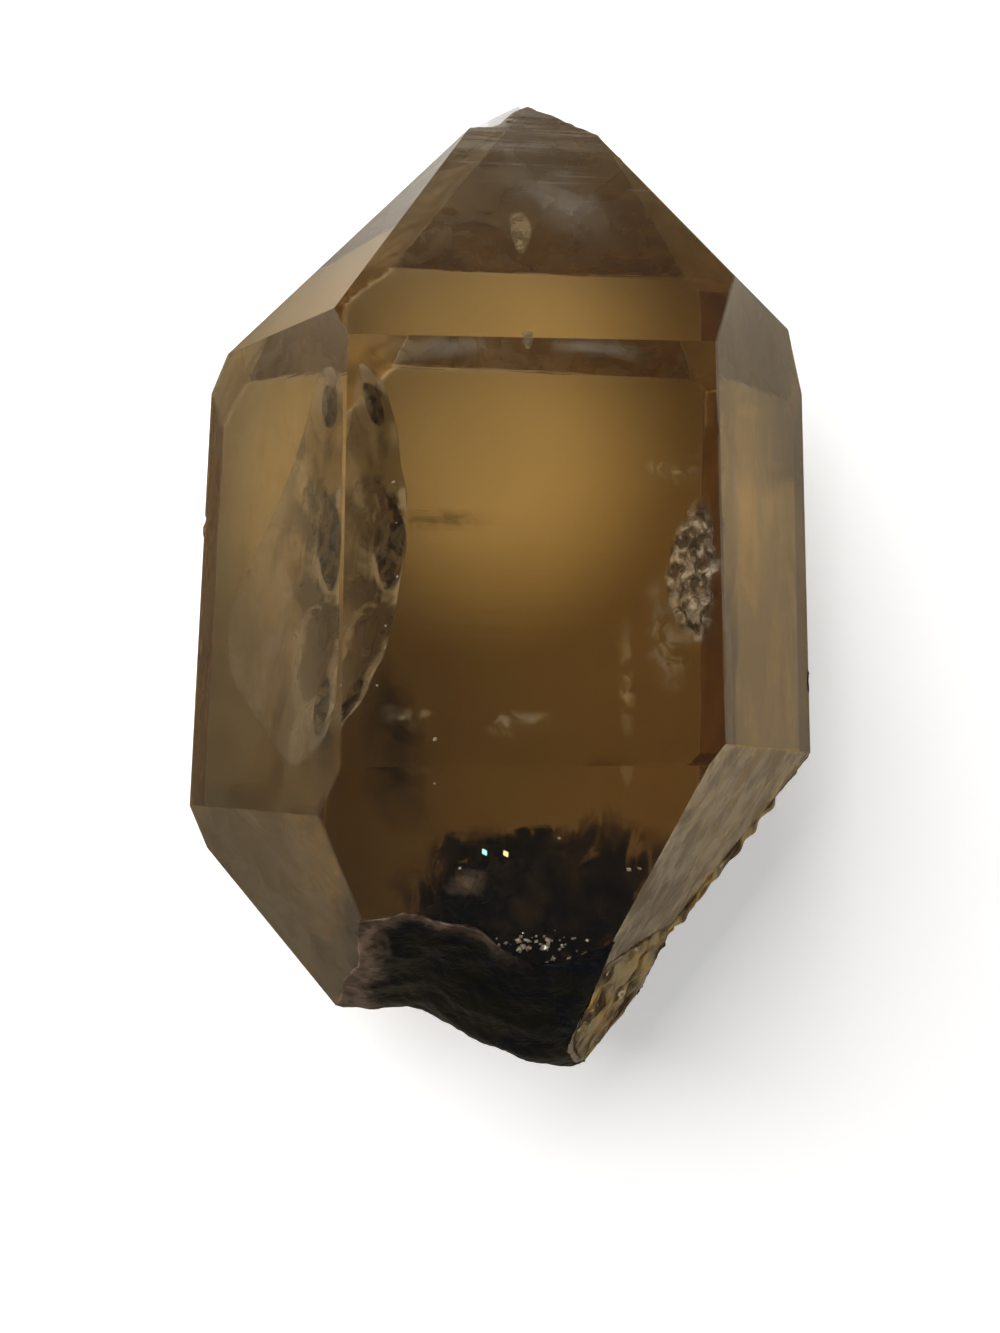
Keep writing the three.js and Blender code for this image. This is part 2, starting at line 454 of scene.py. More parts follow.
def wear_tip(work):
    """Divides the tip finely and pulls it in to a ball that touches the six faces of the point. A
    point goes to middle + (point - middle) (radius / distance) to the power w, and w grows from 0
    to 1 where the ball leaves the faces."""
    point = NORMALS[:, 1] > 0.5
    radius = TIP_RADIUS
    middle = np.linalg.lstsq(NORMALS[point], DISTANCES[point] - radius, rcond=None)[0]
    low = (middle[1] + 0.3 * radius) * MM
    bmesh.ops.bisect_plane(work, geom=work.verts[:] + work.edges[:] + work.faces[:],
                           plane_co=(0, low, 0), plane_no=(0, 1, 0))
    mark = work.faces.layers.int["rough"]
    worn = [f for f in work.faces if f.calc_center_median().y > low]
    bmesh.ops.triangulate(work, faces=worn)
    edges = [e for e in work.edges if all(v.co.y > low - 1e-7 for v in e.verts)]
    bmesh.ops.subdivide_edges(work, edges=edges, cuts=7, use_grid_fill=True)
    loose = [v for v in work.verts if v.co.y > low + 1e-6]
    arms = np.array([v.co for v in loose]) / MM - middle
    far = np.linalg.norm(arms, axis=1)
    w = np.clip((arms[:, 1] / radius - 0.35) / 0.25, 0, 1) * (far > radius)
    moved = middle + arms * ((radius / far) ** w)[:, None]
    for vert, place, share in zip(loose, moved * MM, w):
        vert.co = place
        for face in vert.link_faces if share > 0.01 else ():
            face[mark] = WORN


print("tip rounded to a ball of", TIP_RADIUS, "mm")

# %% [markdown]
# ## The crystal's skin
# The packed crystal has sharp edges and coarse fractures. A copy of it replaces it: its rough
# faces are divided and pushed in and out along their normals by smooth waves, its tip is worn
# round, and its long edges get a small bevel. A subdivision modifier would be quicker to add, but
# it would soften the flat faces as well, and the flat faces are what makes it a crystal.

# %% The crystal's skin
SHARP_EDGE = math.radians(12)  # edges of whole faces that turn by more than this are bevelled


def crystal_skin():
    """The crystal's mesh, with its fractures cut finer and made lumpy, and its edges marked for
    a small bevel."""
    mesh = bpy.data.meshes.new("citrine_point")
    work = merged_crystal()
    mark = work.faces.layers.int["rough"]
    weight = work.edges.layers.float["bevel_weight_edge"]
    wear_tip(work)
    rough = [f for f in work.faces if f[mark] == ROUGH]
    edges = list({e for f in rough for e in f.edges})
    bmesh.ops.subdivide_edges(work, edges=edges, cuts=3, use_grid_fill=True)
    loose = [v for v in work.verts if all(f[mark] == ROUGH for f in v.link_faces)]
    for _ in range(4):
        bmesh.ops.smooth_vert(work, verts=loose, factor=0.5, use_axis_x=True, use_axis_y=True,
                              use_axis_z=True)
    work.normal_update()
    places = np.array([v.co for v in loose]) / MM
    ways = np.array([v.normal for v in loose])
    height = 0.1 - 0.16 * np.abs(waves(places, 4.5, 5)) + 0.03 * waves(places, 0.8, 6)
    moved = (places + np.minimum(height, 0.1)[:, None] * ways) * MM
    for vert, place in zip(loose, moved):
        vert.co = place
    for edge in work.edges:
        kinds = {f[mark] for f in edge.link_faces}
        if kinds == {0} and edge.calc_face_angle(0) > SHARP_EDGE:
            edge[weight] = 1.0
        edge.smooth = kinds != {0}
    for face in work.faces:
        face.smooth = bool(face[mark])
    print("fracture faces:", sum(f[mark] == ROUGH for f in work.faces), "of", len(work.faces))
    work.to_mesh(mesh)
    work.free()
    mesh.materials.append(CITRINE)
    return mesh


def add_crystal():
    """The crystal itself, with each edge between two faces bevelled by a tenth of a millimetre."""
    crystal = bpy.data.objects.new("citrine_point", crystal_skin())
    bpy.context.scene.collection.objects.link(crystal)
    bevel = crystal.modifiers.new("worn edges", "BEVEL")
    bevel.limit_method = "WEIGHT"
    bevel.width = 0.09 * MM
    bevel.segments = 2
    bevel.miter_outer = "MITER_SHARP"
    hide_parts("crystal")
    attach(crystal, "root")
    return crystal


crystal = add_crystal()

# %% [markdown]
# ## Healed fractures
# A fracture that healed while the crystal grew is a thin, crinkled sheet. It hides what is behind
# it in some places and lets it through in others, so its material has an alpha made of patches.
# Both of these start at an edge of the face that looks up and dip into the stone.

# %% The material of thin sheets
def sheet_material(name, pale, dark, size, cover, shine=0.0, roughness=0.4, edges=(0.42, 0.6),
                   stretch=(1, 1, 1), fade=0.75, clearer=None):
    """Patches of two colours, and of an alpha between the two values of cover. The alpha fades
    out from the reach called fade to the rim. If clearer gives two values of x in millimetres, it
    falls to less than half from the second to the first, and the dark patches go with it."""
    s = Shades(name, Roughness=roughness, Metallic=shine, Specular_IOR_Level=0.08)
    tone = s.mottle(size, edges, stretch=stretch, twist=0.8)
    holes = s.mottle(0.8 * size, (0.38, 0.62), stretch=stretch, shift=(0.2, 0.1, 0), twist=1.2)
    grain = s.mottle(0.25 * size, (0.3, 0.7))
    share = tone.outputs["Mask"]
    patch = s.spread(holes.outputs["Mask"], 0, 1, cover[0], cover[1])
    alpha = s.sums("MULTIPLY", patch, s.spread(s.attribute("reach"), 1.0, fade))
    if clearer:
        split = s.nodes.new("ShaderNodeSeparateXYZ")
        s.link(s.place, split.inputs[0])
        side = s.spread(split.outputs["X"], clearer[0] * MM, clearer[1] * MM, 0.4)
        alpha = s.sums("MULTIPLY", alpha, side)
        share = s.sums("MULTIPLY", share, side)
    s.link(s.mix(share, pale, dark), s.shader.inputs["Base Color"])
    s.link(alpha, s.shader.inputs["Alpha"])
    s.link(s.bump(grain.outputs["Height"], 0.1), s.shader.inputs["Normal"])
    return s.material


healed = sheet_material("healed_fracture", (0.4, 0.31, 0.2), (0.08, 0.052, 0.022), 3.4,
                        (0.4, 0.88), edges=(0.43, 0.55), stretch=(1, 0.6, 1), fade=0.985,
                        roughness=0.6, clearer=(-12.5, -8.5))
silver = sheet_material("silvery_fracture", (0.62, 0.52, 0.4), (0.12, 0.085, 0.05), 0.9,
                        (0.3, 1.0), shine=0.1, roughness=0.35, edges=(0.4, 0.58), fade=0.7)
# painted shadow: the dark patches laid over the left fracture
painted_shadow = sheet_material("fracture_shadow_patch", (0.13, 0.08, 0.03), (0.035, 0.02, 0.006), 1.6, (0.3, 1.0),
                      edges=(0.42, 0.52), roughness=0.6, fade=0.88)
print("fracture materials:", healed.name, silver.name, painted_shadow.name)

# %% [markdown]
# ## The left fracture
# The large one is curled. It starts at the upper left edge and dips down into the stone.
# Its outline is a list of corners across and along its plane. Its dark patches are painted
# shadow: smaller dark lenses a quarter of a millimetre above it.

# %% The left fracture
LEFT_FACE = (-38, 0, 20.5)
LEFT_OUTLINE = [(5.0, 10.6), (7.2, 10.0), (7.0, 6.9), (6.8, 2.8), (6.7, -0.6), (6.9, -3.4),
                (7.1, -5.1), (7.5, -8.5), (7.4, -10.7), (4.6, -12.6), (2.0, -11.8), (-2.3, -8.3),
                (-4.6, -5.8), (-3.9, -2.2), (-0.7, 1.3), (2.1, 5.2), (4.0, 8.5)]
LEFT_CURL = (0.0067, 1.2)
LEFT_LIFT = 0.25
lens("left_fracture", LEFT_FACE, LEFT_OUTLINE, healed, thick=0.12, lumpy=0.16, grain=3, seed=11,
     curl=LEFT_CURL, spokes=200)
# painted shadow on the left fracture, in three patches
LEFT_SHADOWS = {
    "shadow_middle": [(4.9, 3.4), (6.3, 2.9), (6.9, 1.2), (6.8, -0.8), (6.3, -2.8), (5.1, -1.6),
                    (4.5, 0.8)],
    "shadow_end": [(6.0, -7.0), (6.9, -7.6), (7.0, -9.6), (6.1, -11.2), (5.2, -9.2)],
    "shadow_top": [(5.3, 9.4), (6.6, 9.2), (6.7, 7.4), (5.7, 6.7), (5.0, 7.8)],
}
for seed, (name, outline) in enumerate(LEFT_SHADOWS.items(), 13):
    lens(name, (*LEFT_FACE[:2], LEFT_FACE[2] + LEFT_LIFT), outline, painted_shadow, thick=0.06, lumpy=0.06,
         seed=seed, curl=LEFT_CURL)
print("left fracture with", len(LEFT_SHADOWS), "torn patches")

# %% [markdown]
# ## The right fracture
# The small one stands steeply under the upper right edge. It is freshly parted, with air in it,
# so it shines like silver foil where it isn't clear.

# %% The right fracture
RIGHT_FACE = (-64, 0, 3.5)
RIGHT_OUTLINE = [(28.9, 2.9), (27.2, 3.3), (25.5, 2.2), (24.2, 0.6), (23.6, -1.5), (24.0, -3.6),
                 (25.4, -5.2), (27.4, -5.6), (28.9, -5.2)]
right = lens("right_fracture", RIGHT_FACE, RIGHT_OUTLINE, silver, thick=0.15, lumpy=0.25,
             grain=1.4, seed=12)
print("right fracture faces:", len(right.data.polygons))

# %% [markdown]
# ## Films just inside the faces
# Most faces of a natural crystal are etched, frosted or stained a little, and what shows through
# them is a plain brown or grey. Roughness alone would only blur the floor. A film with an alpha
# adds the brown as well: each is a thin closed plate that lies behind its face and has its corners.
# The brown, umber and amber films are partly painted shade: besides the stain, they darken the
# stone seen through the face under the point and the two lower sides.

# %% The shape of a film
FILM_SINK = 0.12  # how far a film lies under its face, and how thick it is, in millimetres
FILM_THICK = 0.04
FILM_SHRINK = 0.006  # the share by which it is smaller, so that films on two faces don't cross


def plates(name, turn, rise, material):
    """A thin closed plate inside each whole face that looks this way: the face's own corners, sunk
    and drawn in a little. Plates that meet share their edge and have no wall between them."""
    points, faces, walls = [], [], []
    whole = np.flatnonzero(NORMALS @ face_basis(turn, rise)[2] > 0.999)
    middle = np.vstack([CORNERS[which] for which in whole]).mean(0)
    for which in whole:
        corners = CORNERS[which]
        upper = corners + FILM_SHRINK * (middle - corners) - FILM_SINK * NORMALS[which]
        near = np.arange(len(corners)) + sum(map(len, points))
        far = near + len(near)
        points.append(np.vstack([upper, upper - FILM_THICK * NORMALS[which]]))
        faces += [near.tolist(), far[::-1].tolist()]
        walls += zip(upper + np.roll(upper, -1, 0), near, far, np.roll(far, -1), np.roll(near, -1))
    places = np.array([wall[0] for wall in walls])
    apart = np.linalg.norm(places[:, None] - places, axis=2) + 9 * np.eye(len(places))
    faces += [wall[1:] for wall, free in zip(walls, apart.min(1) > 0.001) if free]
    plate = add_piece(name, np.vstack(points), faces, material, smooth=False)
    work = bmesh.new()
    work.from_mesh(plate.data)
    bmesh.ops.remove_doubles(work, verts=work.verts[:], dist=1e-6)
    work.to_mesh(plate.data)
    work.free()
    return plate


print("films lie", FILM_SINK, "mm under their faces")

# %% [markdown]
# ## Film colours
# Each film has two tones and a least and most alpha. Where the stone is stained the film is brown
# and half opaque, and that brown is partly painted shade; where it is only etched it is pale. All
# are rough, with wide, soft patches.

# %% Film colours
SMOOTH = {"roughness": 0.8, "edges": (0.25, 0.75)}
brown = sheet_material("brown_stain_and_shade_film", (0.45, 0.33, 0.19), (0.28, 0.2, 0.12), 5.0, (0.45, 0.65),
                       **SMOOTH)
tan = sheet_material("tan_film", (0.6, 0.5, 0.34), (0.4, 0.32, 0.2), 5.0, (0.12, 0.32),
                     **SMOOTH)
umber = sheet_material("umber_stain_and_shade_film", (0.24, 0.17, 0.1), (0.13, 0.09, 0.05), 4.0, (0.4, 0.65),
                       **SMOOTH)
amber = sheet_material("amber_stain_and_shade_film", (0.48, 0.28, 0.08), (0.31, 0.18, 0.06), 5.0, (0.35, 0.55),
                       **SMOOTH)
pearl = sheet_material("pearl_film", (0.58, 0.5, 0.37), (0.48, 0.43, 0.32), 6.0, (0.24, 0.36),
                       stretch=(1, 0.5, 1), **SMOOTH)
misty = sheet_material("misty_film", (0.44, 0.34, 0.17), (0.34, 0.26, 0.13), 7.0, (0.0, 0.06),
                       stretch=(1, 0.6, 1), **SMOOTH)
frost = sheet_material("frost_film", (0.36, 0.26, 0.14), (0.26, 0.18, 0.09), 4.0, (0.2, 0.45),
                       **SMOOTH)
etched = sheet_material("etched_film", (0.96, 0.82, 0.58), (0.6, 0.47, 0.31), 2.2, (0.5, 0.85),
                        roughness=0.6, stretch=(1.6, 0.3, 1.2))
print("film materials:", [film.name for film in (brown, tan, umber, amber, pearl,
                                          misty, frost, etched)])

# %% [markdown]
# ## The films in place
# The two numbers of each line are the turn and the rise of the face that the film lies behind:
# three faces under the point, four sides and two faces of the base.

# %% The films in place
# The middle point film and both side films are partly painted shade: they darken these faces.
plates("point_film_right", 120, 39, tan)
plates("point_film_middle", 180, 38.2, brown)
plates("point_film_left", 240, 39.7, tan)
plates("side_film_right", 120, -0.3, umber)
plates("side_film_left", 240, 2.6, amber)
plates("side_haze_right", 60, 1.3, pearl)
plates("side_haze_left", -60, 0.1, misty)
plates("base_film_left", -62.1, -36.2, frost)
last = plates("base_film_right", 61.2, -34.9, etched)
print("corners of the last film:", len(last.data.vertices))

# %% [markdown]
# ## The dark cloud over the fracture
# Smoky stone hides most of the broken end. A volume with density would be the true way, but it
# would have to be traced step by step through the stone, and the export can't keep it. So its
# heart is one lumpy dark body. Round it lie sheets of smoke, each tilted its own way, that fade
# out to their rims, so the cloud has no hard edge. All of it is held inside the faces.

# %% The dark cloud's shape
CLOUD_MIDDLE = np.array((-1.4, -18.2, 12.0))
NEARNESS = 1.2  # how far away a point of the fracture still counts, in millimetres


def fracture_level(x, z):
    """How far along the crystal the fracture lies at these places: the mean of its own points,
    weighted by e to the minus half of (distance / nearness) squared."""
    far = (x[:, None] - FRACTURE[:, 0]) ** 2 + (z[:, None] - FRACTURE[:, 2]) ** 2
    weight = np.exp(-(far - far.min(1, keepdims=True)) / (2 * NEARNESS**2))
    return (weight @ FRACTURE[:, 1]) / weight.sum(1)


def held_in(points, gap):
    """The points, with those that come nearer to a face or to the fracture than the gap pushed
    straight back."""
    for _ in range(4):
        for normal, distance in zip(NORMALS, DISTANCES):
            points = points - np.maximum(points @ normal - distance + gap, 0)[:, None] * normal
    level = fracture_level(points[:, 0], points[:, 2]) + gap
    return np.stack([points[:, 0], np.maximum(points[:, 1], level), points[:, 2]], 1)


def cloud(name, size, material, lumpy, grain, seed):
    """A closed lumpy body. Each direction from its middle reaches the size times 1 plus lumps."""
    rows, columns = 60, 120
    tilt = np.linspace(0, np.pi, rows + 2)[1:-1, None]
    turn = np.linspace(0, 2 * np.pi, columns, endpoint=False)[None, :]
    ways = np.stack([np.sin(tilt) * np.cos(turn), np.sin(tilt) * np.sin(turn),
                     np.cos(tilt) + 0 * turn], -1).reshape(-1, 3)
    arms = np.vstack([ways, [[0, 0, 1], [0, 0, -1]]]) * np.array(size)
    bumps = waves(arms, grain, seed) + 0.5 * waves(arms, 0.3 * grain, seed + 1)
    points = held_in(CLOUD_MIDDLE + arms * (1 + lumpy * bumps)[:, None], 0.5)
    return add_piece(name, points, [f[::-1] for f in loft_faces(rows, columns)], material)


def smoke_sheets(name, material, count, heart, spread, size, seed):
    """Lenses of smoke in one mesh: middles spread round the heart, and outlines whose radius is
    the size times 1 + a cos 2p + b cos 5p, for the angle p round the lens."""
    rng = np.random.default_rng(seed)
    angle = np.linspace(0, 2 * np.pi, 24, endpoint=False)
    points, reaches, faces = [], [], []
    for k in range(count):
        turn, rise = rng.uniform(-40, 40), rng.uniform(-80, -5)
        across, along, out = face_basis(turn, rise)
        middle = heart + rng.normal(size=3) * np.array(spread)
        radius = rng.uniform(*size) * (1 + 0.25 * np.cos(2 * angle + rng.uniform(0, 6))
                                       + 0.1 * np.cos(5 * angle + rng.uniform(0, 6)))
        outline = np.stack([middle @ across + radius * np.cos(angle),
                            middle @ along + radius * np.sin(angle)], 1)
        shape = lens_shape((turn, rise, middle @ out), outline, thick=0.08, lumpy=0.3, grain=3,
                           seed=seed + k, spokes=60)
        faces += [[i + sum(map(len, reaches)) for i in f] for f in shape[2]]
        points.append(held_in(shape[0], 0.4))
        reaches.append(shape[1])
    return add_piece(name, np.vstack(points), faces, material, np.concatenate(reaches))


print("cloud middle, mm:", CLOUD_MIDDLE)


# %% The dark cloud's materials, and the cloud in place
def cloud_material():
    """Smoke so dense that it is nearly black, and a very dark brown in patches."""
    s = Shades("dark_cloud", Roughness=0.7, Specular_IOR_Level=0.05)
    tone = s.mottle(2.5, (0.4, 0.7))
    colour = s.mix(tone.outputs["Mask"], (0.004, 0.004, 0.004), (0.03, 0.02, 0.008))
    s.link(colour, s.shader.inputs["Base Color"])
    return s.material


def smoke_material():
    """A brown-black haze whose alpha is made of soft upright streaks and fades to the rim."""
    s = Shades("smoke", Roughness=0.8, Specular_IOR_Level=0.0)
    patch = s.mottle(1.8, (0.32, 0.58), stretch=(1.3, 0.6, 0.6), twist=1.0)
    tone = s.mottle(1.5, (0.3, 0.7), shift=(0.1, 0, 0))
    s.link(s.mix(tone.outputs["Mask"], (0.06, 0.04, 0.016), (0.012, 0.008, 0.005)),
           s.shader.inputs["Base Color"])
    rim = s.spread(s.attribute("reach"), 1.0, 0.4)
    s.link(s.sums("MULTIPLY", s.spread(patch.outputs["Mask"], 0, 1, 0.08, 0.85), rim),
           s.shader.inputs["Alpha"])
    return s.material


cloud("dark_cloud", (3.3, 3.4, 6.2), cloud_material(), 0.18, 3.0, 31)
SMOKE = smoke_material()
smoke = smoke_sheets("smoke", SMOKE, 18, CLOUD_MIDDLE, (2.8, 1.5, 3.0), (3.4, 6.2), 34)
flames = smoke_sheets("smoke_tongues", SMOKE, 12, CLOUD_MIDDLE + (1.6, 3.4, 1.5), (1.9, 0.7, 2.0),
                      (0.9, 2.2), 36)
print("smoke faces:", len(smoke.data.polygons) + len(flames.data.polygons))

# %% [markdown]
# ## Coats on the broken faces
# The fracture is coated nearly black, and the corroded side is stained by iron. Each coat is a
# copy of those faces of the skin, lifted by a twentieth of a millimetre and made a closed shell.
# A lining lies as far under the skin, because light that meets the skin at a low angle from inside
# is turned back there and never sees what lies on it.

# %% The shape of a coat
COAT_START = -4.0  # along the crystal: rough faces nearer to the point than this stay bare
COAT_THICK = 0.03
COAT_LIFT = 0.05  # above the skin, or below it for a lining


def is_corroded(face):
    """Whether a rough face belongs to the corroded side, not to the fracture."""
    place = face.calc_center_median() / MM
    return face.normal.x > 0.3 and face.normal.z < 0.3 and place.x > 2 and place.y < COAT_START


def coat(name, corroded, lift, lumpy, material):
    """A closed shell over the rough faces of one kind below the middle of the crystal. Its reach
    is how far each point lies under the nearest whole face, in millimetres."""
    work = bmesh.new()
    work.from_mesh(crystal.data)
    mark = work.faces.layers.int["rough"]
    rest = [f for f in work.faces if f[mark] != ROUGH or f.calc_center_median().y > COAT_START * MM
            or is_corroded(f) != corroded]
    bmesh.ops.delete(work, geom=rest, context="FACES")
    work.normal_update()
    places = np.array([v.co for v in work.verts]) / MM
    ways = np.array([v.normal for v in work.verts])
    inner = np.array([not v.is_boundary for v in work.verts])
    lifted = places + (lift + inner * lumpy * np.abs(waves(places, 1.2, 81)))[:, None] * ways
    mesh = bpy.data.meshes.new(name)
    work.to_mesh(mesh)
    work.free()
    mesh.vertices.foreach_set("co", (lifted * MM).ravel())
    mesh.polygons.foreach_set("use_smooth", np.ones(len(mesh.polygons), bool))
    under = (DISTANCES - places @ NORMALS.T).min(1)
    mesh.attributes.new("reach", "FLOAT", "POINT").data.foreach_set("value", under)
    mesh.materials.clear()
    mesh.materials.append(material)
    piece = bpy.data.objects.new(name, mesh)
    bpy.context.scene.collection.objects.link(piece)
    shell = piece.modifiers.new("shell", "SOLIDIFY")
    shell.thickness = COAT_THICK * MM
    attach(piece, "root")
    print(name, "faces:", len(mesh.polygons))
    return piece


print("coats are", COAT_THICK, "mm thick")


# %% The materials of the coats
def fracture_material():
    """Nearly black, with traces of blue and green. It is a pinkish brown towards the left end and
    along the left part of the rim."""
    s = Shades("dark_fracture", Roughness=0.35, Specular_IOR_Level=0.12)
    tone = s.mottle(2.2, (0.35, 0.65))
    speck = s.mottle(0.7, (0.35, 0.7), shift=(0.3, 0, 0))
    black = s.mix(tone.outputs["Mask"], (0.003, 0.004, 0.0065), (0.007, 0.0065, 0.003))
    pink = s.mix(speck.outputs["Mask"], (0.2, 0.135, 0.095), (0.06, 0.035, 0.02))
    split = s.nodes.new("ShaderNodeSeparateXYZ")
    s.link(s.place, split.inputs[0])
    jag = s.sums("MULTIPLY", s.sums("SUBTRACT", tone.outputs["Height"], 0.5), 4 * MM)
    left = s.spread(s.sums("ADD", split.outputs["X"], jag), -7.6 * MM, -9 * MM)
    rim = s.sums("SUBTRACT", s.attribute("reach"), s.sums("MULTIPLY", speck.outputs["Height"], 0.9))
    fading = s.spread(split.outputs["X"], 1 * MM, -5 * MM)
    edge = s.sums("MULTIPLY", s.spread(rim, 0.0, -0.35), fading)
    s.link(s.mix(s.sums("MAXIMUM", left, edge), black, pink), s.shader.inputs["Base Color"])
    s.link(s.bump(s.mottle(1.8, (0.3, 0.7), detail=3).outputs["Height"], 0.3),
           s.shader.inputs["Normal"])
    return s.material


def crust_material():
    """Iron stain: golden brown with dark streaks and a few pale grains."""
    s = Shades("rusty_crust", Roughness=0.75, Specular_IOR_Level=0.2)
    streaks = s.mottle(2.2, (0.34, 0.62), stretch=(1.6, 0.45, 1.2), twist=0.6)
    gold = s.mottle(2.4, (0.4, 0.62), shift=(0, 0.3, 0))
    pale = s.mottle(0.6, (0.62, 0.74), shift=(0.4, 0, 0))
    warm = s.mix(gold.outputs["Mask"], (0.38, 0.29, 0.16), (0.55, 0.35, 0.1))
    stained = s.mix(streaks.outputs["Mask"], (0.055, 0.03, 0.012), warm)
    s.link(s.mix(pale.outputs["Mask"], stained, (0.75, 0.62, 0.4)), s.shader.inputs["Base Color"])
    s.link(s.bump(streaks.outputs["Height"], 0.2), s.shader.inputs["Normal"])
    return s.material


def lining_material():
    """The iron stain as it looks from inside the stone: plain dark brown in soft patches."""
    s = Shades("brown_lining", Roughness=0.8, Specular_IOR_Level=0.05)
    patch = s.mottle(5.0, (0.3, 0.7))
    s.link(s.mix(patch.outputs["Mask"], (0.13, 0.085, 0.04), (0.07, 0.045, 0.022)),
           s.shader.inputs["Base Color"])
    return s.material


BLACK = fracture_material()
RUST = crust_material()
print("coat materials:", BLACK.name, RUST.name)

# %% The coats in place
RUST_LUMPS = 0.12
coat("dark_fracture", False, COAT_LIFT, 0.0, BLACK)
coat("dark_lining", False, -COAT_LIFT, 0.0, BLACK)
coat("rusty_side", True, COAT_LIFT, RUST_LUMPS, RUST)
coat("brown_lining", True, -COAT_LIFT, 0.0, lining_material())

# %% [markdown]
# ## The crust on the lower right face
# Iron that seeped out of the corroded side dried on the whole face beside it, in a thin golden
# crust. It is thickest in its middle and thins out to its rim, which is just what a lens does.

# %% The crust on the lower right face
CORRODED_FACE = (61.2, -34.9, 24.55)
CRUSTS = {
    "rusty_edge": [(-1.6, 1.6), (-2.6, -0.2), (-3.9, -2.6), (-4.9, -5.0), (-5.8, -7.6),
                   (-6.8, -9.4), (-5.4, -9.6), (-4.3, -7.0), (-3.4, -4.5), (-2.2, -1.2)],
    "rusty_patch": [(-6.0, -8.6), (-10.0, -9.6), (-13.5, -11.0), (-15.0, -11.4), (-13.5, -13.5),
                    (-11.4, -16.9), (-7.3, -19.0), (-4.9, -19.2), (-3.1, -14.6), (-4.4, -12.0),
                    (-5.5, -9.6)],
}
for seed, (name, outline) in enumerate(CRUSTS.items(), 91):
    lens(name, CORRODED_FACE, outline, RUST, thick=0.45, lumpy=0.12, grain=1.2, seed=seed,
         spokes=200)
print("crusts:", list(CRUSTS))

# %% [markdown]
# ## Wisps, streaks and the fleck
# Faint milky veils, a dusky line and a fleck of tan mineral were trapped as the crystal grew. Each
# is a lens, most of them so thin and soft that they only cloud the stone a little. The left shade
# is painted shade: a dark brown lens that darkens the stone below the left fracture.

# %% The materials of the wisps
milky = sheet_material("milky_veil", (0.62, 0.56, 0.46), (0.5, 0.45, 0.36), 1.6, (0.02, 0.3),
                       roughness=0.8, fade=0.0)
foggy = sheet_material("grey_fog", (0.42, 0.4, 0.37), (0.3, 0.28, 0.25), 4.0, (0.08, 0.3),
                       roughness=0.8, edges=(0.3, 0.7), fade=0.0)
hazy = sheet_material("edge_haze", (0.5, 0.45, 0.37), (0.42, 0.37, 0.3), 6.0, (0.12, 0.24),
                      roughness=0.8, edges=(0.3, 0.7), fade=0.2)
dusky = sheet_material("dusky_veil", (0.1, 0.07, 0.035), (0.05, 0.035, 0.02), 2.0, (0.1, 0.35),
                       roughness=0.8, fade=0.0)
# painted shade, for the left shade below the left fracture
painted_shade = sheet_material("brown_shade", (0.05, 0.033, 0.014), (0.02, 0.013, 0.006), 6.0, (0.35, 0.6),
                       roughness=0.8, fade=0.0)
rosy = sheet_material("pinkish_veil", (0.4, 0.3, 0.21), (0.22, 0.15, 0.1), 1.4, (0.2, 0.7),
                      roughness=0.7, fade=0.1)
print("wisp materials:", [veil.name for veil in (milky, foggy, hazy, dusky, painted_shade, rosy)])

# %% Wisps and streaks
VEILS = {
    "tip_milk": (foggy, (-1, 35.7, 27.8), [(-1, 14.4), (1.8, 14.1), (2.4, 12.7), (1.3, 10.9),
                                          (0, 9.6), (-1.2, 9.9), (-2.1, 11.7)]),
    "tip_fog": (foggy, (-1, 35.7, 27.0), [(0.9, 13.8), (2.7, 12.5), (7.1, 6), (6.8, 3.5),
                                         (4.3, 1.8), (0.8, 3.5), (-1.4, 6.9), (-3, 10.4)]),
    "edge_haze_left": (hazy, (0, 0, 27.2), [(-8.9, 11.0), (-5, 11.2), (-1.4, 11.2), (-3, 10.3),
                                             (-6.4, 9.6), (-8.9, 9.3)]),
    "edge_haze_right": (hazy, (0, 0, 27.2), [(-1.0, 11.3), (2.5, 11.5), (5.7, 11.4), (6.3, 9.9),
                                              (3, 10.4), (0, 10.5)]),
    "veil_left": (milky, (0, 0, 21), [(-9.2, -8.4), (-7, -8.8), (-4.8, -8.9), (-5.2, -10.2),
                                      (-8.6, -10.3)]),
    "veil_right": (milky, (0, 0, 21), [(-3.8, -8.9), (-0.8, -8.7), (2.1, -9.1), (1.8, -10.3),
                                       (-3, -10.9)]),
    "streak": (milky, (0, 0, 16), [(5.2, -2.6), (6.4, -2.6), (6.6, -7.5), (6.4, -11.4),
                                   (5.4, -11.4)]),
    "right_wisp": (milky, (0, 0, 20), [(5.3, 5.6), (7, 6.1), (9.1, 5.6), (10.4, 5.2), (9, 4.0),
                                       (7, 4.4)]),
    "right_fog": (milky, (0, 0, 22), [(5.9, -0.4), (8.8, -0.9), (9.4, -5.4), (8.8, -8.8), (6.5, -8.3),
                                      (5.6, -3.8)]),
    # painted shade: a dark sheet below the left fracture
    "left_shade": (painted_shade, (0, 0, 18), [(-8.8, -4.4), (-7.2, -6.0), (-5.4, -10.0), (-5.0, -14.2),
                                       (-7.6, -15.4), (-10.2, -12.0), (-10.0, -8.0)]),
    "pink_patch": (rosy, (0.8, -35.6, 28.5), [(-5.3, -3.2), (-5.1, -1.5), (-3.8, -0.6), (-2.4, -1.1),
                                              (-2.5, -3.2)]),
    "dusky_line": (dusky, (0, 0, 8), [(-8.4, 3.9), (-4.5, 4.1), (-0.5, 4.0), (-0.5, 2.8),
                                      (-4.5, 2.3), (-8.4, 2.4)]),
}
for seed, (name, (material, face, outline)) in enumerate(VEILS.items(), 41):
    lens(name, face, outline, material, thick=0.1, lumpy=0.1, grain=2, seed=seed, spokes=80)
print("wisps and streaks:", len(VEILS))

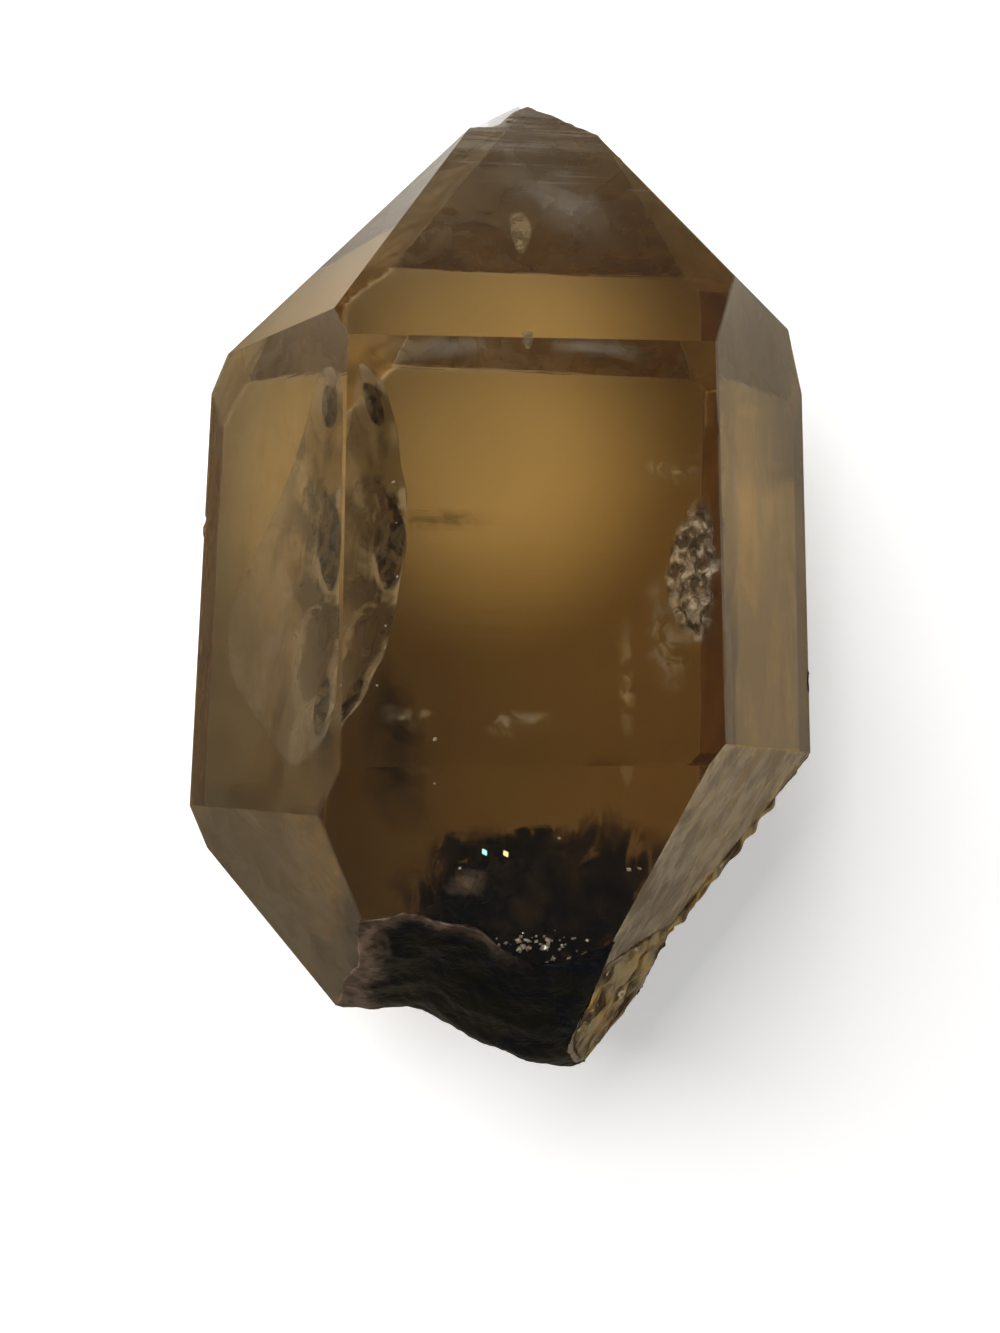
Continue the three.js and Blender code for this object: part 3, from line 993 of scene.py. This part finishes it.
# %% The fleck
FLECKS = {
    "fleck": ((-1, 35.7, 27.2), [(-0.1, 6.4), (-1.1, 5.4), (-0.9, 2.9), (-0.5, 1.0), (0.2, 2.5),
                                 (0.6, 4.5)]),
    "fleck_tip": ((0, 0, 26.5), [(-1.5, 11.6), (-1.0, 10.4), (-0.5, 11.6)]),
}
mineral = sheet_material("tan_mineral", (0.4, 0.3, 0.17), (0.24, 0.17, 0.09), 1.2, (0.3, 0.7),
                         fade=0.7)
for seed, (name, (face, outline)) in enumerate(FLECKS.items(), 61):
    lens(name, face, outline, mineral, thick=0.15, lumpy=0.06, grain=1, seed=seed, spokes=60)
print("flecks:", list(FLECKS))

# %% [markdown]
# ## Grains and sparkles
# Tiny crystals and flat bubbles flash where the light catches them. Each is an eight-sided grain,
# which is the cheapest closed shape with flat faces. Two of them split the light into colours,
# and since a path tracer would need far too many samples for that, they glow a little instead.

# %% The shape of the grains
def crumbs(name, middles, sizes, material, seed):
    """Loose grains: an octahedron, stretched and turned at random, set down at each middle."""
    rng = np.random.default_rng(seed)
    shape = np.vstack([np.eye(3), -np.eye(3)])
    sides = [(0, 1, 2), (1, 3, 2), (3, 4, 2), (4, 0, 2), (1, 0, 5), (3, 1, 5), (4, 3, 5), (0, 4, 5)]
    turns = np.linalg.qr(rng.normal(size=(len(middles), 3, 3)))[0]
    turns *= np.sign(np.linalg.det(turns))[:, None, None]
    stretch = rng.uniform(0.5, 1.2, (len(middles), 1, 3))
    points = (shape * stretch * np.array(sizes)[:, None, None]) @ turns
    points = (points + np.array(middles)[:, None, :]).reshape(-1, 3)
    faces = (np.array(sides) + 6 * np.arange(len(middles))[:, None, None]).reshape(-1, 3)
    return add_piece(name, points, faces.tolist(), material, smooth=False)


def on_face(face, places):
    """Points in the frame from places across and along a face."""
    across, along, out = face_basis(*face[:2])
    places = np.array(places, float)
    return out * face[2] + places[:, :1] * across + places[:, 1:] * along


print("one place:", on_face((0, 0, 24), [(1, 2)]).tolist())

# %% Grains and sparkles
GRAINS = 46
rng = np.random.default_rng(71)
glint = Shades("glint", Base_Color=(0.95, 0.93, 0.88, 1), Metallic=0.6, Roughness=0.15)
dull = glint.mottle(0.5, (0.3, 0.7))
glint.link(glint.spread(dull.outputs["Mask"], 0, 1, 0.1, 0.4), glint.shader.inputs["Roughness"])
grain_places = np.array((1.0, -6.2)) + rng.normal(size=(GRAINS, 2)) * (1.5, 0.7)
crumbs("white_grains", on_face((0.8, -35.6, 28.9), grain_places), rng.uniform(0.06, 0.24, GRAINS),
       glint.material, 72)
SPARKLES = on_face((0.8, -35.6, 28.0), [(-3.0, -0.1), (-1.8, -0.2), (-4.3, -1.2), (1.1, 0.9),
                                        (-6.1, 4.4), (5.3, -1.2), (5.9, -1.1)])
crumbs("sparkles", SPARKLES[2:], (0.12, 0.14, 0.1, 0.2, 0.2), glint.material, 73)
for name, colour, place in (("green_flash", (0.35, 0.95, 0.8, 1), SPARKLES[:1]),
                            ("gold_flash", (1.0, 0.75, 0.3, 1), SPARKLES[1:2])):
    flash = Shades(name, Base_Color=colour, Emission_Color=colour, Emission_Strength=1.5)
    crumbs(name, place, (0.3,), flash.material, 75)
TOP_SPARKLES = on_face((0, 0, 24), [(-5.7, -10.8), (-8.2, 3.4), (-8.0, 1.1), (-7.9, -1.9),
                                    (-8.5, -4.6), (-8.9, -7.9)])
crumbs("top_sparkles", TOP_SPARKLES, (0.14, 0.14, 0.08, 0.1, 0.07, 0.09), glint.material, 74)
print("grains and sparkles:", GRAINS + len(SPARKLES) + len(TOP_SPARKLES))

# %% [markdown]
# ## The floor, the lights and the room
# Clear stone shows what lies behind and below it, so the floor matters more than the lights. Seen
# directly it is plain and pale. Seen through the stone it is dimmer, with painted shade near the
# crystal and one painted pool of light, as on a small light pad: that gives the gold heart and
# the brown rims. Two large soft lights do the rest, because a small one would put hard white
# spots on the flat faces.

# %% The floor
FLOOR_HALF = 0.3  # metres
FLOOR_DROP = -0.0001  # metres below the crystal
FLOOR_PALE = 0.99  # as the camera sees it
FLOOR_GLOW = 0.25
# painted shade: the crystal sees a dim floor near it, paling again beyond the point
FLOOR_DIM = (0.25, 0.215, 0.16)  # as the crystal sees it
FLOOR_FAR = (0.9, 0.87, 0.8)  # beyond the point, where it grows pale again
FAR_START, FAR_END = 20, 45  # along +Y, in millimetres
# painted pool of light in the floor's colour, as the crystal sees it
POOL_PLACE = (-1.5, 9.0)
POOL_NEAR, POOL_FAR = 3.0, 14.5  # the pool fades from one radius to the other
POOL_BRIGHT = 0.88


def add_floor():
    """A plain pale floor, a tenth of a millimetre under the crystal. The crystal itself sees a
    dimmer floor, with painted shade near it and one painted pool of light under its middle, as on
    a small light pad."""
    mesh = bpy.data.meshes.new("floor")
    square = ((-1, -1), (1, -1), (1, 1), (-1, 1))
    corners = [(x * FLOOR_HALF, y * FLOOR_HALF, FLOOR_DROP) for x, y in square]
    mesh.from_pydata(corners, [], [(0, 1, 2, 3)])
    s = Shades("floor", Roughness=0.9, Specular_IOR_Level=0.0)
    away = s.nodes.new("ShaderNodeVectorMath")
    away.operation = "DISTANCE"
    away.inputs[1].default_value = (POOL_PLACE[0] * MM, POOL_PLACE[1] * MM, FLOOR_DROP)
    s.link(s.place, away.inputs[0])
    pool = s.spread(away.outputs["Value"], POOL_FAR * MM, POOL_NEAR * MM)
    split = s.nodes.new("ShaderNodeSeparateXYZ")
    s.link(s.place, split.inputs[0])
    beyond = s.spread(split.outputs["Y"], FAR_START * MM, FAR_END * MM)
    ground = s.mix(beyond, FLOOR_DIM, FLOOR_FAR)
    seen = s.mix(pool, ground, (POOL_BRIGHT,) * 3)
    direct = s.nodes.new("ShaderNodeLightPath").outputs["Is Camera Ray"]
    s.link(s.mix(direct, seen, (FLOOR_PALE,) * 3), s.shader.inputs["Base Color"])
    s.shader.inputs["Emission Color"].default_value = (1, 1, 1, 1)
    s.link(s.sums("MULTIPLY", direct, FLOOR_GLOW), s.shader.inputs["Emission Strength"])
    mesh.materials.append(s.material)
    floor = bpy.data.objects.new("floor", mesh)
    bpy.context.scene.collection.objects.link(floor)


add_floor()
print("floor side:", 2 * FLOOR_HALF, "m")


# %% The lights and the room
def add_light(name, place, size, power, colour=(1, 1, 1)):
    """A square soft light at a place in millimetres, facing the crystal's middle."""
    light = bpy.data.objects.new(name, bpy.data.lights.new(name, "AREA"))
    bpy.context.scene.collection.objects.link(light)
    light.data.size = size * MM
    light.data.energy = power
    light.data.color = colour
    light.location = Vector(place) * MM
    aim = light.location - Vector((0, 0, 0.012))
    light.rotation_euler = aim.to_track_quat("Z", "Y").to_euler()


add_light("key", (-190, 150, 210), 380, 2.0, (1, 0.98, 0.95))
add_light("fill", (260, -160, 220), 500, 0.6, (0.97, 0.98, 1))
room = bpy.data.worlds.new("room")
room.use_nodes = True
backdrop = room.node_tree.nodes["Background"]
straight = room.node_tree.nodes.new("ShaderNodeLightPath")
tones = room.node_tree.nodes.new("ShaderNodeMix")
tones.data_type = "RGBA"
tones.inputs[6].default_value = (0.12, 0.12, 0.12, 1)
tones.inputs[7].default_value = (0.93, 0.93, 0.93, 1)
room.node_tree.links.new(straight.outputs["Is Camera Ray"], tones.inputs[0])
room.node_tree.links.new(tones.outputs[2], backdrop.inputs[0])
bpy.context.scene.world = room

# %% [markdown]
# ## How the picture is developed
# Light crosses many surfaces on its way through the stone, so it is allowed many bounces. The
# Standard view keeps the pale floor pale and the browns as deep as they are.

# %% How the picture is developed
scene = bpy.context.scene
scene.view_settings.view_transform = "Standard"
scene.cycles.max_bounces = 16
scene.cycles.transmission_bounces = 16
scene.cycles.transparent_max_bounces = 32
scene.cycles.glossy_bounces = 12
scene.cycles.adaptive_threshold = 0.04
print("bounces allowed:", scene.cycles.max_bounces)

# %% [markdown]
# ## The end
# The box of the packed crystal is printed at the start.
